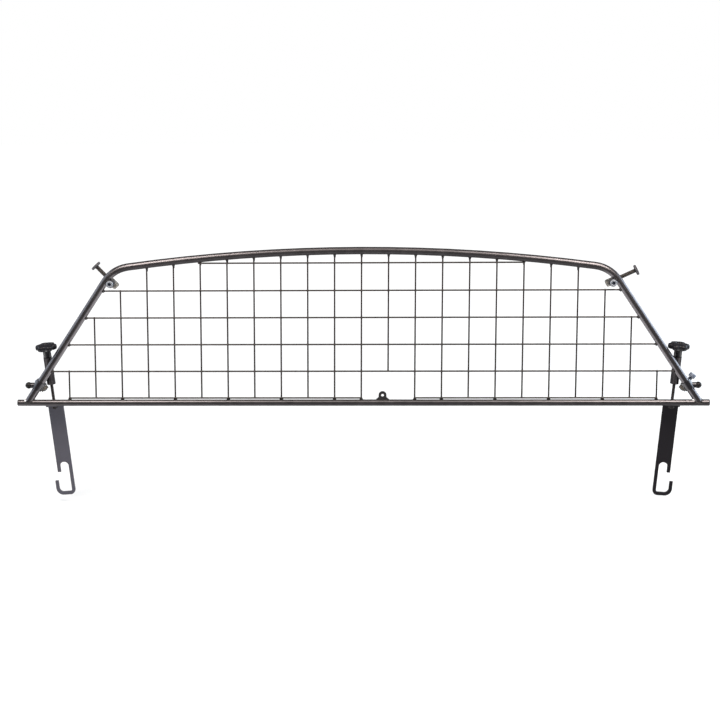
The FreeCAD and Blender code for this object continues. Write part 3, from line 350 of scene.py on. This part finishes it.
def wire_ends(node, axis):
    """End centres of each wire of a mesh node, in millimetres, as (first, last) pairs along an axis."""
    across = 0 if axis == 2 else 2
    same_wire, same_end = 0.01, 0.005

    def clusters(points, along, nearest):
        points.sort(key=lambda place: place[along])
        found = [[points[0]]]
        for place in points[1:]:
            if place[along] - found[-1][-1][along] > nearest:
                found.append([])
            found[-1].append(place)
        return found

    wires = []
    for group in clusters([vertex.co.copy() for vertex in nodes[node].data.vertices], across, same_wire):
        centres = [sum(end, Vector()) / len(end) / MM for end in clusters(group, axis, same_end)]
        wires.extend(zip(centres[::2], centres[1::2]))
    return wires


# Radius and height of the fillets at a wire's end
CONE = ((0.4, 1.6), (3.0, 1.2), (3.0, -0.4), (2.5, -2.0), (2.0, -4.0), (1.7, -6.0), (1.5, -7.0),
        (0.3, -7.2))
BLOB = ((0.4, 1.2), (3.2, 0.8), (3.4, -0.4), (2.8, -1.6), (2.0, -2.8), (1.6, -3.8), (0.3, -4.0))


def wire_weld(name, shape, origin, direction):
    """Small uneven fillet round a wire's end; its shape runs back along the wire."""
    uneven = 0.12

    def row(radius, height):
        return (lambda angle: radius * (1 + random.uniform(-uneven, uneven))), height
    mesh = spun("wire_weld", [row(*place) for place in shape], axis_frame(origin * MM, direction), 18)
    add_piece(name, mesh, "guard_frame", "wire_paint", "weld")


def mesh_welds():
    """Fillets where the mesh wires meet the tubes."""
    crown_low, foot_high, near_leg, rail_sink = 226, 7, 14, 0.6
    for number, (low, high) in enumerate(wire_ends("mesh_uprights", 2)):
        if high.z > crown_low:
            slope = math.asin(max(-1, min(1, high.x / ARCH_BOW)))
            wire_weld("weld_top_%d" % number, CONE, high, (math.sin(slope), 0, math.cos(slope)))
        if low.z < foot_high:
            wire_weld("weld_foot_%d" % number, BLOB, Vector((low.x, low.y, CROSS_RADIUS)), (0, 0, -1))
    for number, ends in enumerate(wire_ends("mesh_rails", 0)):
        for place, (side_name, side) in zip(ends, SIDES):
            if abs(place.x) > FOOT_REACH - place.z * math.tan(LEAN) - near_leg:
                start = Vector((place.x - side * rail_sink, place.y, place.z))
                wire_weld("weld_rail_%d_%s" % (number, side_name), BLOB, start, (side, 0, 0))


def foot_welds():
    """Bead round each leg's foot, where the leg's tube meets the cross tube."""
    steps = 72
    for side_name, side in SIDES:
        along = Vector((-side * math.sin(LEAN), 0, math.cos(LEAN)))
        square = Vector((side * math.cos(LEAN), 0, math.sin(LEAN)))
        foot = Vector((side * FOOT_REACH, 0, 0))
        points = []
        for step in range(steps):
            angle = 2 * math.pi * step / steps
            ring = foot + ARCH_RADIUS * (math.cos(angle) * square + math.sin(angle) * Vector((0, 1, 0)))
            height = math.sqrt(max(0, CROSS_RADIUS ** 2 - ring.y ** 2))
            points.append(ring + along * ((height - ring.z) / along.z))
        bead("weld_leg_" + side_name, points, 1.3, True)
        # Part of the bead drawn again in pale paint, as a painted highlight
        first, last = HIGHLIGHT_ARC[side_name]
        highlight_points = [points[step % steps] for step in range(first, last)]
        bead("weld_leg_bright_" + side_name, highlight_points, 1.8, finish="weld_painted_highlight")


def lug_welds():
    """Bead round each roof lug, where its boss meets the bend of the arch."""
    steps, inside = 16, 0.999
    for side_name, side in SIDES:
        pivot = Vector(joints["roof_swivel_" + side_name]["pos_m"]) / MM
        lug = Vector((pivot.x, 0, pivot.z))
        centre = Vector((side * BEND_CENTRE[0], 0, BEND_CENTRE[1]))
        outward = (lug - centre).normalized()
        across = Vector((-outward.z, 0, outward.x))
        offset = BEND_RADIUS - (lug - centre).length
        widest = inside * math.sqrt(ARCH_RADIUS ** 2 - (offset - LUG_RADIUS) ** 2)
        points = []
        for turn in (1, -1):
            for step in range(steps + 1):
                y = -turn * widest * math.cos(math.pi * step / steps)
                inward = math.sqrt(ARCH_RADIUS ** 2 - y * y)
                aside = math.sqrt(max(0, LUG_RADIUS ** 2 - (offset - inward) ** 2))
                points.append(lug + outward * (offset - inward) + across * turn * aside + Vector((0, y, 0)))
        bead("weld_lug_" + side_name, points, 1.1, True)


def sleeve_welds():
    """Bead round the crossing of each hook sleeve and the leg in front of it."""
    steps, long_half, short_half, sink, sag = 40, 11, 3.6, 0.2, 0.3
    for side_name, side in SIDES:
        sleeve = Vector(joints["rod_slide_" + side_name]["axis"]).normalized()
        along = Vector((-side * math.sin(LEAN), 0, math.cos(LEAN)))
        middle = (sleeve + along).normalized()
        wide = middle.cross(Vector((0, 1, 0))).normalized()
        height = HOOK_CROSS[side_name]
        touch = Vector((side * (FOOT_REACH - height * math.tan(LEAN)), ARCH_RADIUS - sink, height))
        points = []
        for step in range(steps):
            angle = 2 * math.pi * step / steps
            points.append(touch + middle * long_half * math.cos(angle) + wide * short_half * math.sin(angle)
                          + Vector((0, sag * math.cos(2 * angle), 0)))
        bead("weld_sleeve_" + side_name, points, 1.4, True)


def divider_weld():
    """Beads along both sides of the divider lug's foot."""
    low, high = [corner[0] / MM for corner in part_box("divider_lug")]
    steps, inset, half_width, level = 20, 0.6, 2.9, 5.4
    span = high - low - 2 * inset
    for side_name, side in SIDES:
        places = [low + inset + span * step / (steps - 1) for step in range(steps)]
        points = [(place, side * half_width, level) for place in places]
        bead("weld_divider_" + side_name, points, 0.9)


def own_line(node, axis):
    """Middle line of a turned node along a known direction, laid out as a joint is."""
    turn = axis_frame((0, 0, 0), axis)
    local = [turn.inverted() @ vertex.co for vertex in nodes[node].data.vertices]
    middle = [(min(places) + max(places)) / 2 for places in list(zip(*local))[:2]]
    return {"pos_m": turn @ Vector((*middle, 0)), "axis": axis}


def turned_piece(name, node, body, slot, line, build, finish=None):
    """A piece built along a line that takes a node's place, and how far it reaches along it."""
    matrix = axis_frame(line["pos_m"], line["axis"])
    low, high = reach_along(node, line["pos_m"], line["axis"])
    made = add_piece(name, build(matrix, low, high), body, slot, finish)
    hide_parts(node)
    return matrix, high


def socket_screw(node, body, axis, finish):
    """Threads, knurled head and dark socket in place of a plain cap screw."""
    matrix, top = turned_piece(
        "knurled_" + node, node, body, "zinc_steel", own_line(node, axis),
        lambda matrix, low, high: spun("cap_screw", cap_screw_rows(low, high), matrix, 80), finish)
    # Lining of the socket in painted shade
    add_piece("socket_" + node, spun("socket", socket_rows(top), matrix, 48, True), body, "zinc_steel",
              "socket_painted_shade", False)


def threads_and_knobs():
    """Threads, knobs and screw heads in place of the plain solids."""
    for side_name, side in SIDES:
        rod, knob, bolt = [body + side_name for body in ("rod_", "knob_", "bolt_")]
        hook = joints["knob_turn_" + side_name]
        spin = joints["bolt_spin_" + side_name]
        turned_piece(
            "threaded_" + rod, "hook_" + rod, rod, "dark_steel", hook,
            lambda matrix, low, high: threaded("rod", matrix, low, high, ROD_RADIUS, ROD_PITCH))
        turned_piece(
            "star_" + knob, knob, knob, "black_plastic", hook,
            lambda matrix, low, high: spun("knob", knob_rows(low, high), matrix, 144, True))
        turned_piece(
            "threaded_" + bolt, "roof_" + bolt, bolt, "dark_steel", spin,
            lambda matrix, low, high: threaded("bolt", matrix, low, high, BOLT_RADIUS, BOLT_PITCH),
            "bolt_steel")
        socket_screw("pivot_screw_" + side_name, "guard_frame", (0, -1, 0), "zinc_steel")
        skewed = LEAN + CLAMP_SKEW
        socket_screw("clamp_screw_" + side_name, "buffer_" + side_name,
                     (side * math.cos(skewed), 0, math.sin(skewed)), "blue_zinc")


mesh_welds()
foot_welds()
lug_welds()
sleeve_welds()
divider_weld()
threads_and_knobs()


def area_light(name, place, target, size, power, colour):
    """Soft rectangular light aimed at a point."""
    data = bpy.data.lights.new(name, "AREA")
    data.shape = "RECTANGLE"
    data.size, data.size_y = size
    data.energy = power
    data.color = colour
    made = bpy.data.objects.new(name, data)
    bpy.context.scene.collection.objects.link(made)
    made.visible_camera = False
    made.location = place
    made.rotation_euler = (Vector(target) - Vector(place)).to_track_quat("-Z", "Y").to_euler()


def ramp(tree, source, start, end, low, high):
    """Value that goes from low to high while the source goes from start to end."""
    found = tree.nodes.new("ShaderNodeMapRange")
    for socket, value in zip(("From Min", "From Max", "To Min", "To Max"), (start, end, low, high)):
        found.inputs[socket].default_value = value
    tree.links.new(source, found.inputs["Value"])
    return found.outputs["Result"]


def joined(tree, operation, first, second=None):
    """Sum, product or other result of two values."""
    found = tree.nodes.new("ShaderNodeMath")
    found.operation = operation
    tree.links.new(first, found.inputs[0])
    if second:
        tree.links.new(second, found.inputs[1])
    return found.outputs["Value"]


def light_path(tree, mirrored):
    """Share of the white background: all of it for the camera and through glass, less in metal."""
    path = tree.nodes.new("ShaderNodeLightPath")
    share = tree.nodes.new("ShaderNodeMath")
    share.operation = "MULTIPLY_ADD"
    share.inputs[1].default_value = mirrored
    tree.links.new(path.outputs["Is Glossy Ray"], share.inputs[0])
    tree.links.new(path.outputs["Is Camera Ray"], share.inputs[2])
    total = tree.nodes.new("ShaderNodeMath")
    total.operation = "ADD"
    total.use_clamp = True
    tree.links.new(share.outputs["Value"], total.inputs[0])
    tree.links.new(path.outputs["Is Transmission Ray"], total.inputs[1])
    return total.outputs["Value"]


def floor():
    """Pale floor below the hooks' lowest place, which shows as white and keeps a faint shadow."""
    half, level = 30.0, cad_box[0][2] - FLOOR_DROP
    mesh = bpy.data.meshes.new("floor")
    corners = [(-half, -half, level), (half, -half, level), (half, half, level), (-half, half, level)]
    mesh.from_pydata(corners, [], [(0, 1, 2, 3)])
    made = bpy.data.objects.new("floor", mesh)
    bpy.context.scene.collection.objects.link(made)
    paint = bpy.data.materials.new("floor_paint")
    paint.use_nodes = True
    tree = paint.node_tree
    shader = tree.nodes["Principled BSDF"]
    shader.inputs["Base Color"].default_value = (0.5, 0.5, 0.5, 1)
    shader.inputs["Roughness"].default_value = 0.9
    shader.inputs["Specular IOR Level"].default_value = 0.1
    shader.inputs["Emission Color"].default_value = (1, 1, 1, 1)
    place = tree.nodes.new("ShaderNodeTexCoord")
    length = tree.nodes.new("ShaderNodeVectorMath")
    length.operation = "LENGTH"
    tree.links.new(place.outputs["Object"], length.inputs[0])
    reach = length.outputs["Value"]
    near = ramp(tree, reach, 0.2, 1.2, 0.3, 0.57)
    far = ramp(tree, reach, 1.2, 3.4, 0.0, 0.37)
    glow = joined(tree, "ADD", near, far)
    share = joined(tree, "MULTIPLY", glow, light_path(tree, 0.1))
    tree.links.new(share, shader.inputs["Emission Strength"])
    mesh.materials.append(paint)
    made.visible_glossy = False
    made.visible_shadow = False
    made.visible_diffuse = False


def surroundings():
    """World that is white to the camera, dim in front, brighter behind and low at the sides."""
    world = bpy.data.worlds.new("studio")
    bpy.context.scene.world = world
    world.use_nodes = True
    tree = world.node_tree
    tree.nodes.clear()
    place = tree.nodes.new("ShaderNodeTexCoord")
    split = tree.nodes.new("ShaderNodeSeparateXYZ")
    tree.links.new(place.outputs["Generated"], split.inputs["Vector"])

    front = ramp(tree, split.outputs["X"], -0.25, 0.25, 0.1, 0.27)
    behind = ramp(tree, split.outputs["Y"], -0.1, 0.5, 0.0, 0.14)
    table = ramp(tree, split.outputs["X"], -0.1, 0.1, 0.65, 0.08)
    aside = ramp(tree, joined(tree, "ABSOLUTE", split.outputs["X"]), 0.25, 0.5, 0.0, 5.0)
    below = ramp(tree, split.outputs["Z"], -0.7, -0.35, 1.0, 0.0)
    low = joined(tree, "MULTIPLY", joined(tree, "ADD", table, aside), below)
    soft = tree.nodes.new("ShaderNodeBackground")
    tree.links.new(joined(tree, "ADD", joined(tree, "ADD", front, behind), low), soft.inputs["Strength"])
    white = tree.nodes.new("ShaderNodeBackground")
    white.inputs["Color"].default_value = (1, 1, 1, 1)
    mix = tree.nodes.new("ShaderNodeMixShader")
    out = tree.nodes.new("ShaderNodeOutputWorld")
    tree.links.new(light_path(tree, 0.06), mix.inputs["Fac"])
    tree.links.new(soft.outputs["Background"], mix.inputs[1])
    tree.links.new(white.outputs["Background"], mix.inputs[2])
    tree.links.new(mix.outputs["Shader"], out.inputs["Surface"])


def lights():
    """Two warm boxes above in front, and cooler boxes at both sides."""
    warm, cool = (1, 0.93, 0.85), (0.72, 0.86, 1)
    area_light("key_light_left", (-0.69, -0.65, 1.05), (-0.3, 0, 0.2), (0.4, 0.75), 16, warm)
    area_light("key_light_right", (0.74, -0.65, 1.05), (0.3, 0, 0.2), (0.44, 0.75), 19.5, warm)
    area_light("fill_light", (0.1, -1.85, 2.95), (0, 0, 0.1), (3.0, 2.0), 54, warm)
    area_light("right_light", (2.6, 0.9, 0.95), (0, 0.9, 0.95), (3.2, 0.9), 78, cool)
    area_light("left_light", (-2.6, 0.0, 1.15), (0, 0.0, 0.8), (3.2, 1.6), 46, (0.8, 0.9, 1))


def camera():
    """The photograph's viewing angle."""
    data = bpy.data.cameras.new("camera")
    data.sensor_width = 36
    data.lens = 80
    data.clip_end = 100
    made = bpy.data.objects.new("camera", data)
    bpy.context.scene.collection.objects.link(made)
    forward = Vector(CAMERA_FORWARD).normalized()
    right = Vector(CAMERA_RIGHT)
    right = (right - forward * right.dot(forward)).normalized()
    turn = Matrix((right, right.cross(forward), -forward)).transposed().to_4x4()
    made.matrix_world = Matrix.Translation(CAMERA_PLACE) @ turn
    bpy.context.scene.camera = made


floor()
surroundings()
lights()
camera()
bpy.context.scene.view_settings.view_transform = "Standard"
